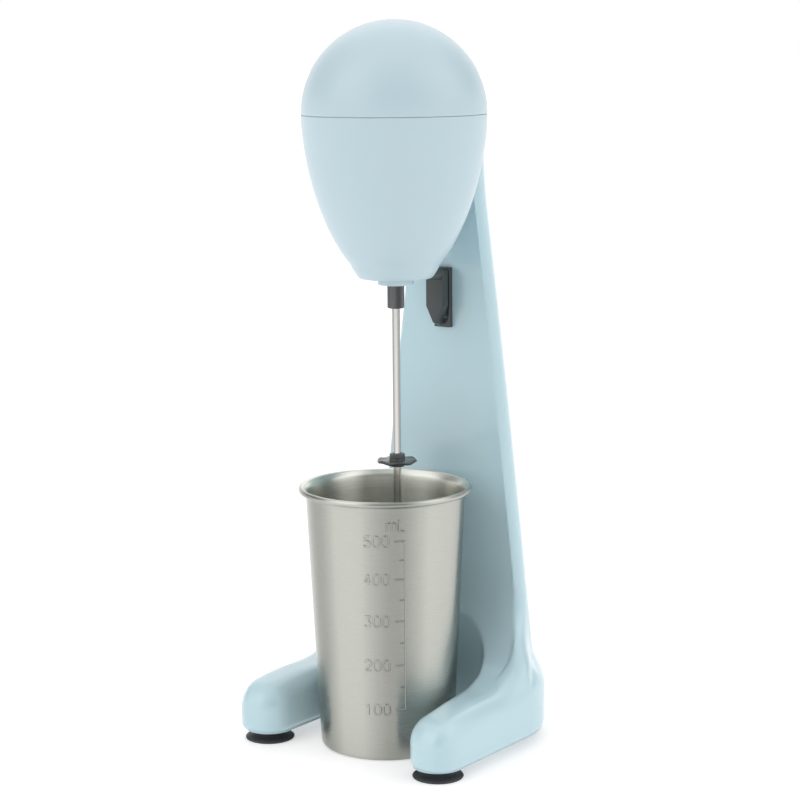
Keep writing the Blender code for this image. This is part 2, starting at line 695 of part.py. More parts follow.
def paddle(black, bezel_front, pivot):
    """Rocker with a shield-shaped front. Its origin is on the pivot."""
    back = bezel_front - 1.5
    top = SWITCH_Z + 10.4
    shoulder = SWITCH_Z - 4.3
    tip = SWITCH_Z - 13.0
    wide = SWITCH_WIDTH / 2
    outline = [(-wide, top), (wide, top), (wide, shoulder), (0.6, tip), (-0.6, tip), (-wide, shoulder)]
    rings = []
    levels = ((PADDLE_FRONT, 0.0, 0.0), (PADDLE_FRONT + 1.6, 1.0, 0.0), (back, 4.6, 2.2))
    for y, grow_top, grow_tip in levels:
        ring = []
        for x, z in outline:
            shift = grow_top if z == top else -grow_tip if z == tip else 0.0
            ring.append((x, y - pivot[1], z + shift - SWITCH_Z))
        rings.append(ring)
    made = loft("switch_paddle", list(reversed(rings)), black, smooth=False)
    made.location = Vector(pivot) * MM
    neck_low = (-3.1, back - 1.0, SWITCH_Z - 10.3)
    neck_high = (3.1, pivot[1] + 2.6, SWITCH_Z + 10.3)
    boolean(made, box("tool_paddle_neck", neck_low, neck_high, None), "UNION")
    hole = [(0.0, -9.0), (1.3, -9.0), (1.3, 9.0), (0.0, 9.0)]
    boolean(made, turned("tool_pin_hole_paddle", hole, None, pivot, 16, along=(1, 0, 0)))
    return made


def electrics(materials):
    box("rectifier_board", (-17.0, 55.0, 100.0), (17.0, 56.6, 150.0), materials["board"])
    can = [(0.0, 0.0), (6.0, 0.0), (6.0, -5.0), (0.0, -5.0)]
    turned("capacitor", can, materials["black"], (0.0, 54.6, 138.0), 24, along=(0, 1, 0))
    box("terminal_block", (-11.0, 46.5, 12.0), (11.0, 58.0, 24.0), materials["black"])


def build():
    materials = {
        "blue": principled("pastel_blue_plastic", (0.52, 0.66, 0.72), 0.28),
        "grey": principled("blue_grey_plastic", (0.42, 0.55, 0.62), 0.45),
        "steel": principled("brushed_steel", (0.60, 0.58, 0.54), 0.32, 1.0),
        "black": principled("black_plastic", (0.035, 0.038, 0.04), 0.42),
        "rubber": principled("black_rubber", (0.03, 0.033, 0.035), 0.75),
        "bronze": principled("sintered_bronze", (0.50, 0.34, 0.16), 0.45, 1.0),
        "copper": principled("copper", (0.72, 0.36, 0.20), 0.35, 1.0),
        "carbon": principled("carbon", (0.05, 0.05, 0.05), 0.7),
        "magnet": principled("ferrite_magnet", (0.10, 0.10, 0.11), 0.6),
        "board": principled("circuit_board", (0.05, 0.22, 0.12), 0.5),
    }
    stand_housing(materials["blue"])
    back_cover(materials["blue"])
    base_plate(materials["grey"])
    for name, at in FEET.items():
        foot(name, at, materials["rubber"])
    fasteners(materials["steel"])
    cord_inlet(materials["black"])
    motor_housing(materials["blue"])
    dome_cover(materials["blue"])
    collar_bush(materials["blue"])
    motor_mount(materials["steel"])
    motor(materials)
    rotor(materials)
    spindle(materials)
    cup(materials["steel"])
    switch(materials)
    electrics(materials)


clear_scene()
AXIS = bpy.data.objects.new("spindle_axis", None)
AXIS.location = (0.0, SPINDLE_Y * MM, 0.0)
bpy.context.scene.collection.objects.link(AXIS)
build()
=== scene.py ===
"""Looks of the milkshake mixer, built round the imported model.

Lengths are in millimetres from the spindle axis at table height, as in the design, and are turned into
metres where a mesh is made. The user stands at -Y. The moulded stand is one smooth field of distances:
its radii and blends are named below, and the field is turned into a mesh and cut along its parting lines.
"""

import math

import bmesh
import bpy
import numpy as np
import openvdb
from mathutils import Matrix, Vector


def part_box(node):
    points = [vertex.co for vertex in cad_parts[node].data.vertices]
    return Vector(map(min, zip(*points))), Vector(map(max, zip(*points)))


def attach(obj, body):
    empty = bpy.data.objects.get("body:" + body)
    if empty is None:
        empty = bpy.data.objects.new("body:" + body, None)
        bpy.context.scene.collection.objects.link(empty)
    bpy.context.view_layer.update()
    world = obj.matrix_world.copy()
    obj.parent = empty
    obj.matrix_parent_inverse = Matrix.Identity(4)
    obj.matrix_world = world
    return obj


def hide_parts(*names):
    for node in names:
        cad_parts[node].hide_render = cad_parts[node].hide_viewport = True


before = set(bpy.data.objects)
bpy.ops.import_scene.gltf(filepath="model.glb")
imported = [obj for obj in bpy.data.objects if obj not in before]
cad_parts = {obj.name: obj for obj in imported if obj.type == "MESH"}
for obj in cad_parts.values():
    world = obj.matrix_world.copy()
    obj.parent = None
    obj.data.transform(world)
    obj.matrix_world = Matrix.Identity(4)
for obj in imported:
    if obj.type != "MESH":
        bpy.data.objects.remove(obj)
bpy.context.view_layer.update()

MM = 0.001
AXIS = Vector(((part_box("spindle_rod")[0].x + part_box("spindle_rod")[1].x) / 2,
               (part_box("spindle_rod")[0].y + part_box("spindle_rod")[1].y) / 2, 0.0))


def node_box(name):
    """Lowest and highest corner of a CAD node in millimetres from the spindle axis."""
    low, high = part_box(name)
    return (low - AXIS) / MM, (high - AXIS) / MM


# --- Sizes -------------------------------------------------------------------------------------

GAP = 0.3
HOUSING_LOW, HOUSING_HIGH = node_box("stand_housing")
COVER_LOW, COVER_HIGH = node_box("back_cover")
HEAD_LOW, HEAD_HIGH = node_box("motor_housing")
DOME_LOW = node_box("dome_cover")[0]
CUP_LOW, CUP_HIGH = node_box("cup")
BEZEL_LOW, BEZEL_HIGH = node_box("switch_bezel")
PADDLE_LOW, PADDLE_HIGH = node_box("switch_paddle")

BASE_BOTTOM = 5.5
UNDERSIDE_EDGE = 4.0
BASE_TOP = 34.5
BASE_EDGE = 12.5
HEEL_TOP = 37.5
HEEL_EDGE = 9.0
HEEL_BLEND = 7.0
LEG_OUTSIDE = HOUSING_HIGH.x
LEG_INSIDE = 41.4
LEG_FRONT = HOUSING_LOW.y
NOSE_RADIUS = (LEG_OUTSIDE - LEG_INSIDE) / 2
LEG_FALL_FROM = -16.0
LEG_FALL = 0.0030
HEEL_REAR = HOUSING_HIGH.y
HEEL_RADIUS = 46.5
RECESS_REAR = 39.0
RECESS_RADIUS = 28.0
COLUMN_FRONT = 44.3
COLUMN_REAR = COVER_HIGH.y
COLUMN_TOP = HOUSING_HIGH.z
COLUMN_HALF_WIDTH = 56.6
COLUMN_TAPER = 0.1015
COLUMN_BOW = 0.00006
COLUMN_RIM = 8.5
PANEL_DEPTH = 1.7
ARCH_EDGE = 2.2
COLUMN_BACK_RADIUS = 22.0
COLUMN_BACK_FLAT = 0.5
COLUMN_TOP_EDGE = 9.0
SKIRT_RADIUS = 50.0
SKIRT_DROP = 0.5
PANEL_BORDER = 4.5
PANEL_SPREAD = 6.2
CREASE_FALL = 0.6
SHARP_EDGE = 0.05
STAND_SMOOTHING = 40.0

# Where the stand's shape changes over, from not at all to fully: heights, or depths along Y.
FLARE_HEIGHTS = (72.0, 40.0)
FLARE_DEPTHS = (52.0, 20.0)
PANEL_HEIGHTS = (34.0, 46.0)
NOSE_DEPTHS = (-4.0, -30.0)
INNER_EDGE_DEPTHS = (26.0, -40.0)
OUTER_EDGE_HEIGHTS = (64.0, 41.0)
CREASE_HEIGHTS = (74.0, 42.0)
HEEL_BLEND_SHARES = (0.4, 1.0)
EDGE_CHANGE = 5.0

HEAD_RADIUS = 48.1
SEAM_Z = (HEAD_HIGH.z + DOME_LOW.z) / 2
SEAM_WIDTH = 0.24
EGG_DEPTH = 90.7
EGG_POWER = 1.7
HEAD_BOTTOM = HEAD_LOW.z
HEAD_FLAT_RADIUS = 16.0
HEAD_OPENING = 8.3
HEAD_WALL = 2.5
HEAD_FIELD_SCALE = 0.8
SEAM_LIP = 0.3
TONGUE_RADIUS = HEAD_RADIUS - 0.75

ROD_BORE = 2.4

CUP_Y = (CUP_LOW.y + CUP_HIGH.y) / 2
CUP_BASE_RADIUS = 35.3
CUP_TOP_RADIUS = 41.7
CUP_RIM_RADIUS = 44.1
CUP_RIM_Z = 138.0
CUP_BEAD = 1.5
CUP_WALL = 0.9
CUP_NECK = 5.0
CUP_FLOOR = 1.6
CUP_HOLLOW = 0.7

SLOT_HALF_WIDTH = 3.6
SLOT_HALF_HEIGHT = 11.5
NECK_HALF_WIDTH = 3.1
NECK_HALF_HEIGHT = 10.3
ROCKER_GAP = 1.5

VOXEL = 1.2


# --- Mesh helpers ------------------------------------------------------------------------------


def add_object(name, mesh, material, smooth_angle=32.0):
    mesh.materials.append(material)
    mesh.shade_smooth()
    mesh.set_sharp_from_angle(angle=math.radians(smooth_angle))
    made = bpy.data.objects.new(name, mesh)
    bpy.context.scene.collection.objects.link(made)
    return made


def from_bmesh(name, bm, material, smooth_angle=32.0, fix_normals=True):
    """Turns a bmesh in millimetres from the spindle axis into an object in metres."""
    if fix_normals:
        bmesh.ops.recalc_face_normals(bm, faces=bm.faces)
    bmesh.ops.scale(bm, vec=(MM, MM, MM), verts=bm.verts)
    bmesh.ops.translate(bm, vec=AXIS, verts=bm.verts)
    mesh = bpy.data.meshes.new(name)
    bm.to_mesh(mesh)
    bm.free()
    return add_object(name, mesh, material, smooth_angle)


def piece(made, body, slot, *nodes):
    """Says what a piece rides on and which CAD nodes it stands for; the slot, for the finish it takes, is not
    used.
    """
    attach(made, body)
    if nodes:
        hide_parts(*nodes)
    return made


def arc(centre, radius, start, end, steps):
    points = []
    for step in range(steps + 1):
        angle = math.radians(start + (end - start) * step / steps)
        points.append((centre[0] + radius * math.cos(angle), centre[1] + radius * math.sin(angle)))
    return points


def rounded(points, radius, steps=4):
    """The outline with each corner between its first and last point cut back to a curve."""
    result = [points[0]]
    for before, corner, after in zip(points, points[1:], points[2:]):
        c = Vector(corner)
        to_before = Vector(before) - c
        to_after = Vector(after) - c
        reach = min(radius, to_before.length * 0.45, to_after.length * 0.45)
        start = c + to_before.normalized() * reach
        end = c + to_after.normalized() * reach
        for step in range(steps + 1):
            t = step / steps
            spot = start * (1 - t) ** 2 + c * (2 * t * (1 - t)) + end * t**2
            result.append((spot.x, spot.y))
    result.append(points[-1])
    return result


def lathe(bm, profile, steps, centre=(0.0, 0.0)):
    """Adds a closed solid turned from (radius, height) points. A first or last radius of 0 closes it."""
    rows = []
    for radius, height in profile:
        if radius < 1e-6:
            rows.append([bm.verts.new((*centre, height))] * steps)
            continue
        row = []
        for step in range(steps):
            angle = math.tau * (step + 0.5) / steps
            x, y = radius * math.cos(angle), radius * math.sin(angle)
            row.append(bm.verts.new((centre[0] + x, centre[1] + y, height)))
        rows.append(row)
    pairs = list(zip(rows, rows[1:]))
    if profile[0][0] > 1e-6:
        pairs.append((rows[-1], rows[0]))
    for lower, upper in pairs:
        for i in range(steps):
            j = (i + 1) % steps
            corners = []
            for corner in (lower[i], lower[j], upper[j], upper[i]):
                if corner not in corners:
                    corners.append(corner)
            if len(corners) > 2:
                bm.faces.new(corners)


def turned(name, profile, material, steps, centre=(0.0, 0.0), smooth_angle=32.0):
    bm = bmesh.new()
    lathe(bm, profile, steps, centre)
    return from_bmesh(name, bm, material, smooth_angle)


def round_edges(bm, edges, radius):
    bmesh.ops.bevel(bm, geom=edges, offset=radius, segments=3, profile=0.5, affect="EDGES")


def block(name, outline, low, high, material, edge):
    """Prism of an (x, z) outline from y = low to y = high, with every edge rounded."""
    bm = bmesh.new()
    front = [bm.verts.new((x, low, z)) for x, z in outline]
    rear = [bm.verts.new((x, high, z)) for x, z in outline]
    bm.faces.new(front)
    bm.faces.new(list(reversed(rear)))
    count = len(outline)
    for i in range(count):
        j = (i + 1) % count
        bm.faces.new((front[i], rear[i], rear[j], front[j]))
    round_edges(bm, bm.edges[:], edge)
    return from_bmesh(name, bm, material)


# --- Materials ---------------------------------------------------------------------------------


def nodes_for(name, colour, roughness, metallic=0.0):
    """A new material with its node tree, its Principled shader and object coordinates."""
    material = bpy.data.materials.new(name)
    material.use_nodes = True
    tree = material.node_tree
    shader = tree.nodes["Principled BSDF"]
    shader.inputs["Base Color"].default_value = (*colour, 1.0)
    shader.inputs["Roughness"].default_value = roughness
    shader.inputs["Metallic"].default_value = metallic
    place = tree.nodes.new("ShaderNodeTexCoord").outputs["Object"]
    return material, tree, shader, place


def noise(tree, place, scale, detail=3.0, stretch=None):
    if stretch:
        mapping = tree.nodes.new("ShaderNodeMapping")
        mapping.inputs["Scale"].default_value = stretch
        tree.links.new(place, mapping.inputs["Vector"])
        place = mapping.outputs["Vector"]
    texture = tree.nodes.new("ShaderNodeTexNoise")
    texture.inputs["Scale"].default_value = scale
    texture.inputs["Detail"].default_value = detail
    tree.links.new(place, texture.inputs["Vector"])
    return texture.outputs["Fac"]


def ramp(tree, factor, low, high):
    """Spreads a noise between two values or two colours."""
    spread = tree.nodes.new("ShaderNodeMapRange")
    spread.inputs["From Min"].default_value = 0.3
    spread.inputs["From Max"].default_value = 0.7
    tree.links.new(factor, spread.inputs["Value"])
    if isinstance(low, float):
        spread.inputs["To Min"].default_value = low
        spread.inputs["To Max"].default_value = high
        return spread.outputs["Result"]
    made = tree.nodes.new("ShaderNodeMix")
    made.data_type = "RGBA"
    tree.links.new(spread.outputs["Result"], made.inputs["Factor"])
    made.inputs["A"].default_value = (*low, 1.0)
    made.inputs["B"].default_value = (*high, 1.0)
    return made.outputs["Result"]


def bump(tree, shader, height, distance, strength):
    made = tree.nodes.new("ShaderNodeBump")
    made.inputs["Strength"].default_value = strength
    made.inputs["Distance"].default_value = distance
    tree.links.new(height, made.inputs["Height"])
    tree.links.new(made.outputs["Normal"], shader.inputs["Normal"])


def varied(name, colour, roughness, metallic, spread, grain, depth):
    """A finish whose colour and roughness drift a little, over a fine grain."""
    material, tree, shader, place = nodes_for(name, colour, roughness, metallic)
    drift = noise(tree, place, 22.0, 4.0)
    low = tuple(c * (1.0 - spread) for c in colour)
    high = tuple(min(1.0, c * (1.0 + spread)) for c in colour)
    tree.links.new(ramp(tree, drift, low, high), shader.inputs["Base Color"])
    fine = noise(tree, place, grain, 4.0)
    tree.links.new(ramp(tree, fine, roughness * 0.85, roughness * 1.15), shader.inputs["Roughness"])
    bump(tree, shader, fine, depth, 0.5)
    return material


def plastic(name, colour, roughness, **fine):
    return varied(name, colour, roughness, 0.0, **fine)


def metal(name, colour, roughness, **fine):
    return varied(name, colour, roughness, 1.0, **fine)


def blue_plastic(name, colour, rough, sheen):
    """Injection-moulded plastic with a faint moulded ripple, from satin to glossy."""
    material, tree, shader, place = nodes_for(name, colour, rough)
    drift = noise(tree, place, 9.0, 3.0)
    low = tuple(c * 0.985 for c in colour)
    high = tuple(min(1.0, c * 1.015) for c in colour)
    tree.links.new(ramp(tree, drift, low, high), shader.inputs["Base Color"])
    smear = noise(tree, place, 26.0, 2.0)
    tree.links.new(ramp(tree, smear, rough * 0.94, rough * 1.06), shader.inputs["Roughness"])
    ripple = noise(tree, place, 120.0, 2.0)
    bump(tree, shader, ripple, 0.00002, 0.3)
    shader.inputs["IOR"].default_value = 1.52
    shader.inputs["Coat Weight"].default_value = sheen
    shader.inputs["Coat Roughness"].default_value = 0.04
    shader.inputs["Subsurface Weight"].default_value = 0.08
    shader.inputs["Subsurface Scale"].default_value = 0.002
    shader.inputs["Subsurface Radius"].default_value = (0.8, 1.0, 1.1)
    return material


def painted_reflection_bands(tree, shader, place, colour, centre_y, bands, phase, depth):
    """Painted reflection: colour that goes lighter and darker round an axis, standing in for how bent sheet
    and bar reflect a studio.

    It goes bands times round, turned by a phase in degrees, and varies by depth, as a share of the colour.
    """
    shift = tree.nodes.new("ShaderNodeMapping")
    shift.inputs["Location"].default_value = (-AXIS.x, -AXIS.y - centre_y * MM, 0.0)
    tree.links.new(place, shift.inputs["Vector"])
    around = tree.nodes.new("ShaderNodeTexGradient")
    around.gradient_type = "RADIAL"
    tree.links.new(shift.outputs["Vector"], around.inputs["Vector"])
    turn = tree.nodes.new("ShaderNodeMath")
    turn.operation = "MULTIPLY_ADD"
    turn.inputs[1].default_value = math.tau * bands
    turn.inputs[2].default_value = -math.pi * bands - math.radians(phase) * bands
    tree.links.new(around.outputs["Fac"], turn.inputs[0])
    wave = tree.nodes.new("ShaderNodeMath")
    wave.operation = "COSINE"
    tree.links.new(turn.outputs["Value"], wave.inputs[0])
    spread = tree.nodes.new("ShaderNodeMapRange")
    spread.inputs["From Min"].default_value = -1.0
    tree.links.new(wave.outputs["Value"], spread.inputs["Value"])
    drift = noise(tree, place, 60.0, 3.0, (1.0, 1.0, 0.06))
    mixed = tree.nodes.new("ShaderNodeMath")
    mixed.operation = "MULTIPLY_ADD"
    mixed.inputs[1].default_value = 0.35
    tree.links.new(drift, mixed.inputs[0])
    tree.links.new(spread.outputs["Result"], mixed.inputs[2])
    shade = tree.nodes.new("ShaderNodeMix")
    shade.data_type = "RGBA"
    tree.links.new(mixed.outputs["Value"], shade.inputs["Factor"])
    shade.inputs["A"].default_value = (*(c * (1.0 - depth) for c in colour), 1.0)
    shade.inputs["B"].default_value = (*(c * (1.0 + depth) for c in colour), 1.0)
    tree.links.new(shade.outputs["Result"], shader.inputs["Base Color"])


def painted_light_inside(tree, shader, centre_y, factor):
    """Painted light: faces that look at the axis take a lighter colour, against the shade that falls inside.
    """
    geometry = tree.nodes.new("ShaderNodeNewGeometry")
    local = tree.nodes.new("ShaderNodeTexCoord")
    away = tree.nodes.new("ShaderNodeVectorMath")
    away.operation = "SUBTRACT"
    tree.links.new(local.outputs["Object"], away.inputs[0])
    away.inputs[1].default_value = (AXIS.x, AXIS.y + centre_y * MM, 0.0)
    flat = tree.nodes.new("ShaderNodeVectorMath")
    flat.operation = "MULTIPLY"
    tree.links.new(away.outputs["Vector"], flat.inputs[0])
    flat.inputs[1].default_value = (1.0, 1.0, 0.0)
    facing = tree.nodes.new("ShaderNodeVectorMath")
    facing.operation = "DOT_PRODUCT"
    tree.links.new(flat.outputs["Vector"], facing.inputs[0])
    tree.links.new(geometry.outputs["Normal"], facing.inputs[1])
    inward = tree.nodes.new("ShaderNodeMath")
    inward.operation = "LESS_THAN"
    tree.links.new(facing.outputs["Value"], inward.inputs[0])
    inward.inputs[1].default_value = 0.0
    outside = shader.inputs["Base Color"].links[0].from_socket
    brighter = tree.nodes.new("ShaderNodeMix")
    brighter.data_type = "RGBA"
    brighter.blend_type = "MULTIPLY"
    brighter.clamp_result = False
    tree.links.new(inward.outputs["Value"], brighter.inputs["Factor"])
    tree.links.new(outside, brighter.inputs["A"])
    brighter.inputs["B"].default_value = (factor, factor, factor, 1.0)
    tree.links.new(brighter.outputs["Result"], shader.inputs["Base Color"])


def brushed_cup():
    """Stainless sheet, brushed round the cup, so that highlights run up and down; its colour carries painted
    reflection bands and painted light inside.
    """
    colour = (0.395, 0.398, 0.365)
    material, tree, shader, place = nodes_for("cup_brushed_steel", colour, 0.3, 1.0)
    # Painted reflection bands: the colour goes lighter and darker five times round the cup.
    painted_reflection_bands(tree, shader, place, colour, CUP_Y, bands=5, phase=-81.5, depth=0.26)
    # Painted light: faces inside the cup take a lighter colour against the shade there.
    painted_light_inside(tree, shader, CUP_Y, factor=1.6)
    lines = noise(tree, place, 60.0, 4.0, (0.06, 0.06, 160.0))
    tree.links.new(ramp(tree, lines, 0.25, 0.33), shader.inputs["Roughness"])
    bump(tree, shader, lines, 0.00001, 0.2)
    shader.inputs["Anisotropic"].default_value = 0.85
    shader.inputs["Anisotropic Rotation"].default_value = 0.25
    tangent = tree.nodes.new("ShaderNodeTangent")
    tangent.direction_type = "RADIAL"
    tangent.axis = "Z"
    tree.links.new(tangent.outputs["Tangent"], shader.inputs["Tangent"])
    return material


def polished_bar():
    """Bright drawn rod with fine scratches along it and painted reflection bands round it."""
    colour = (0.46, 0.45, 0.435)
    material, tree, shader, place = nodes_for("polished_steel_rod", colour, 0.14, 1.0)
    # Painted reflection bands: the colour goes lighter and darker four times round the rod.
    painted_reflection_bands(tree, shader, place, colour, 0.0, bands=4, phase=-58.0, depth=0.42)
    lines = noise(tree, place, 500.0, 3.0, (1.0, 1.0, 0.05))
    tree.links.new(ramp(tree, lines, 0.11, 0.18), shader.inputs["Roughness"])
    bump(tree, shader, lines, 0.000004, 0.3)
    return material


def coupling_plastic():
    """Glossy black moulding with painted reflection bands, lighter and darker round it, as a turned black
    sleeve looks in a studio.
    """
    colour = (0.055, 0.057, 0.059)
    material, tree, shader, place = nodes_for("gloss_black_plastic", colour, 0.2)
    # Painted reflection bands round the sleeve.
    painted_reflection_bands(tree, shader, place, colour, 0.0, bands=4, phase=-77.0, depth=0.8)
    tree.links.new(ramp(tree, noise(tree, place, 80.0), 0.16, 0.22), shader.inputs["Roughness"])
    return material


MATERIALS = {
    # Painted light in the blues: the head's is greyer, a painted sheen, and the stand's is brighter and
    # bluer, painted light against its shade.
    "blue": blue_plastic("satin_pastel_blue", (0.485, 0.615, 0.672), 0.30, 0.0),
    "gloss": blue_plastic("gloss_pastel_blue", (0.490, 0.667, 0.728), 0.21, 0.35),
    "blue_inside": blue_plastic("pastel_blue_underside", (0.42, 0.56, 0.62), 0.35, 0.0),
    "cup": brushed_cup(),
    "rod": polished_bar(),
    "black": plastic("satin_black_plastic", (0.050, 0.058, 0.057), 0.22, spread=0.06, grain=60.0, depth=0.0),
    "hub": coupling_plastic(),
    "rubber": plastic("black_rubber", (0.030, 0.032, 0.034), 0.55, spread=0.12, grain=700.0, depth=0.00001),
    "zinc": metal("zinc_plated_steel", (0.60, 0.61, 0.62), 0.30, spread=0.06, grain=800.0, depth=0.00002),
    "bronze": metal("sintered_bronze", (0.42, 0.27, 0.12), 0.48, spread=0.12, grain=1500.0, depth=0.00004),
    "copper": metal("copper_windings", (0.60, 0.27, 0.13), 0.35, spread=0.10, grain=900.0, depth=0.00004),
    "carbon": plastic("brush_carbon", (0.03, 0.03, 0.03), 0.65, spread=0.20, grain=1200.0, depth=0.00004),
    "ferrite": plastic("ferrite_magnet", (0.07, 0.07, 0.075), 0.6, spread=0.15, grain=900.0, depth=0.00005),
    "board": plastic("green_circuit_board", (0.03, 0.16, 0.07), 0.4, spread=0.15, grain=400.0, depth=0.00002),
}

CARRIED_OVER = {
    "zinc": ("motor_mount", "motor_can", "switch_pivot_pin", "base_screw_front_right",
             "base_screw_front_left", "base_screw_rear_right", "base_screw_rear_left", "cover_screw_top",
             "cover_screw_lower_right", "cover_screw_lower_left", "head_screw_upper", "head_screw_lower",
             "motor_screw_right", "motor_screw_left"),
    "rod": ("motor_shaft",),
    "black": ("motor_end_cap", "cooling_fan", "switch_body", "capacitor", "terminal_block"),
    "bronze": ("upper_bearing", "lower_bearing"),
    "copper": ("armature", "commutator"),
    "carbon": ("brush_right", "brush_left"),
    "ferrite": ("magnet_right", "magnet_left"),
    "board": ("rectifier_board",),
    "rubber": ("cord_inlet_grommet",),
}


def finish_carried_over_nodes():
    for finish, names in CARRIED_OVER.items():
        for name in names:
            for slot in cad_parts[name].material_slots:
                slot.material = MATERIALS[finish]


# --- Stand: a field of distances ---------------------------------------------------------------


def round_intersection(a, b, radius):
    """Distance to where both solids are, with the edge between them rounded."""
    edge = np.hypot(np.maximum(a + radius, 0.0), np.maximum(b + radius, 0.0)) - radius
    return np.where(np.maximum(a, b) > -radius, np.maximum(edge, np.minimum(-radius, np.maximum(a, b))),
                    np.maximum(a, b))


def round_union(a, b, radius):
    """Distance to either solid, with the corner between them filled to a radius."""
    fill = radius - np.hypot(np.maximum(radius - a, 0.0), np.maximum(radius - b, 0.0))
    return np.maximum(np.minimum(a, b), radius) - (radius - fill)


def recess_field(x, y):
    return round_intersection(np.abs(x) - LEG_INSIDE, y - RECESS_REAR, RECESS_RADIUS)


def smooth_step(value, start, end):
    """0 up to the start and 1 from the end on, whichever of them is the larger."""
    share = np.clip((value - start) / (end - start), 0.0, 1.0)
    return share * share * (3.0 - 2.0 * share)


def half_width(z):
    return COLUMN_HALF_WIDTH - COLUMN_TAPER * z - COLUMN_BOW * z * np.abs(z)


def flare(y, z):
    """0 on the column and 1 on the legs; behind, the column stands straight on the heel."""
    return smooth_step(z, *FLARE_HEIGHTS) * smooth_step(y, *FLARE_DEPTHS)


def sides_field(x, y, z):
    """Heel, legs and column seen from outside, open at the front and without the space for the cup."""
    plan = round_intersection(np.abs(x) - LEG_OUTSIDE, y - HEEL_REAR, HEEL_RADIUS)
    heel = round_intersection(plan, z - HEEL_TOP, HEEL_EDGE)
    share = flare(y, z)
    half = half_width(z) + (LEG_OUTSIDE - half_width(z)) * share
    corner = np.minimum(COLUMN_BACK_RADIUS, half_width(z) - COLUMN_BACK_FLAT)
    step = 0.5
    slope = (LEG_OUTSIDE - half_width(z)) * (flare(y, z + step) - flare(y, z - step)) / (2 * step)
    column = round_intersection(np.abs(x) - half, y - COLUMN_REAR, corner) / np.sqrt(1.0 + slope * slope)
    blend = SHARP_EDGE + HEEL_BLEND * (1.0 - smooth_step(share, *HEEL_BLEND_SHARES))
    sides = round_union(heel, column, blend)
    return round_intersection(sides, LEG_FRONT - y, NOSE_RADIUS)


def front_field(y, z):
    """The panel, the concave skirt under it and the tops of the legs, which fall towards the noses."""
    centre_y = COLUMN_FRONT - SKIRT_RADIUS
    centre_z = BASE_TOP - SKIRT_DROP + SKIRT_RADIUS
    skirt = SKIRT_RADIUS - np.hypot(y - centre_y, z - centre_z)
    top = z - centre_z + SKIRT_RADIUS + LEG_FALL * np.maximum(0.0, LEG_FALL_FROM - y) ** 2
    return np.where(z > centre_z, COLUMN_FRONT - y, np.where(y < centre_y, top, skirt))


def egg_radius(z):
    depth = np.clip((SEAM_Z - z) / EGG_DEPTH, 0.0, 1.0)
    return HEAD_RADIUS * np.sqrt(1.0 - depth**EGG_POWER)


def stand_field(x, y, z):
    sides = sides_field(x, y, z)
    inner = -recess_field(x, y)
    front = front_field(y, z)
    depth = PANEL_DEPTH * smooth_step(z, *PANEL_HEIGHTS)

    nose = SHARP_EDGE + (NOSE_RADIUS - SHARP_EDGE) * smooth_step(y, *NOSE_DEPTHS)
    body = round_intersection(sides, inner, nose)
    inner_edge = ARCH_EDGE + (BASE_EDGE - ARCH_EDGE) * smooth_step(y, *INNER_EDGE_DEPTHS)
    outer_edge = COLUMN_RIM + (BASE_EDGE - COLUMN_RIM) * smooth_step(z, *OUTER_EDGE_HEIGHTS)
    outside = smooth_step(sides - inner, -EDGE_CHANGE, EDGE_CHANGE)
    edge = inner_edge * (1.0 - outside) + outer_edge * outside
    body = round_intersection(body, front - depth, edge)

    crease = half_width(z) - PANEL_BORDER + PANEL_SPREAD * smooth_step(z, *CREASE_HEIGHTS)
    body = np.maximum(body, front - CREASE_FALL * np.maximum(0.0, np.abs(x) - crease))
    body = round_intersection(body, z - COLUMN_TOP, COLUMN_TOP_EDGE)
    body = round_intersection(body, BASE_BOTTOM - z, UNDERSIDE_EDGE)
    body = np.maximum(body, np.maximum(y - HEEL_REAR, np.abs(x) - LEG_OUTSIDE))
    space = (np.hypot(x, y) - egg_radius(z) - GAP) * HEAD_FIELD_SCALE
    return np.maximum(body, -space)


def field_normals(points):
    """Gradients of the stand's field and its values at the points."""
    step = 0.05
    x, y, z = points.T
    value = stand_field(x, y, z)
    slope = np.stack([
        stand_field(x + step, y, z) - stand_field(x - step, y, z),
        stand_field(x, y + step, z) - stand_field(x, y - step, z),
        stand_field(x, y, z + step) - stand_field(x, y, z - step),
    ], axis=1) / (2 * step)
    return slope, value


def stand_mesh():
    """The stand's surface, first on a grid and then drawn onto the field's zero."""
    margin, band = 4 * VOXEL, 3 * VOXEL
    longest_move = 0.6 * VOXEL
    least_slope = 0.2
    low = np.array([HOUSING_LOW.x, HOUSING_LOW.y, BASE_BOTTOM]) - margin
    high = np.array([HOUSING_HIGH.x, HOUSING_HIGH.y, HOUSING_HIGH.z]) + margin
    counts = np.ceil((high - low) / VOXEL).astype(int)
    axes = [low[i] + VOXEL * np.arange(counts[i]) for i in range(3)]
    x, y, z = np.meshgrid(*axes, indexing="ij")
    grid = openvdb.FloatGrid(band)
    grid.copyFromArray(np.clip(stand_field(x, y, z), -band, band).astype(np.float32))
    points, quads = grid.convertToQuads(isovalue=0.0)
    points = points.astype(np.float64) * VOXEL + low
    for _ in range(4):
        slope, value = field_normals(points)
        size = np.maximum((slope**2).sum(axis=1), least_slope)
        move = np.clip(value / size, -longest_move, longest_move)
        points -= slope * move[:, None]
    mesh = bpy.data.meshes.new("stand")
    mesh.from_pydata(points.tolist(), [], quads[:, ::-1].tolist())
    mesh.update()
    return mesh


def keep_side(bm, spot, normal):
    """Cuts the mesh at a plane, drops the side the normal points to and closes the cut."""
    cut = bmesh.ops.bisect_plane(
        bm, geom=bm.verts[:] + bm.edges[:] + bm.faces[:], dist=1e-5, plane_co=spot, plane_no=normal,
        clear_outer=True,
    )
    edges = [item for item in cut["geom_cut"] if isinstance(item, bmesh.types.BMEdge)]
    bmesh.ops.triangle_fill(bm, use_beauty=True, use_dissolve=False, edges=edges)


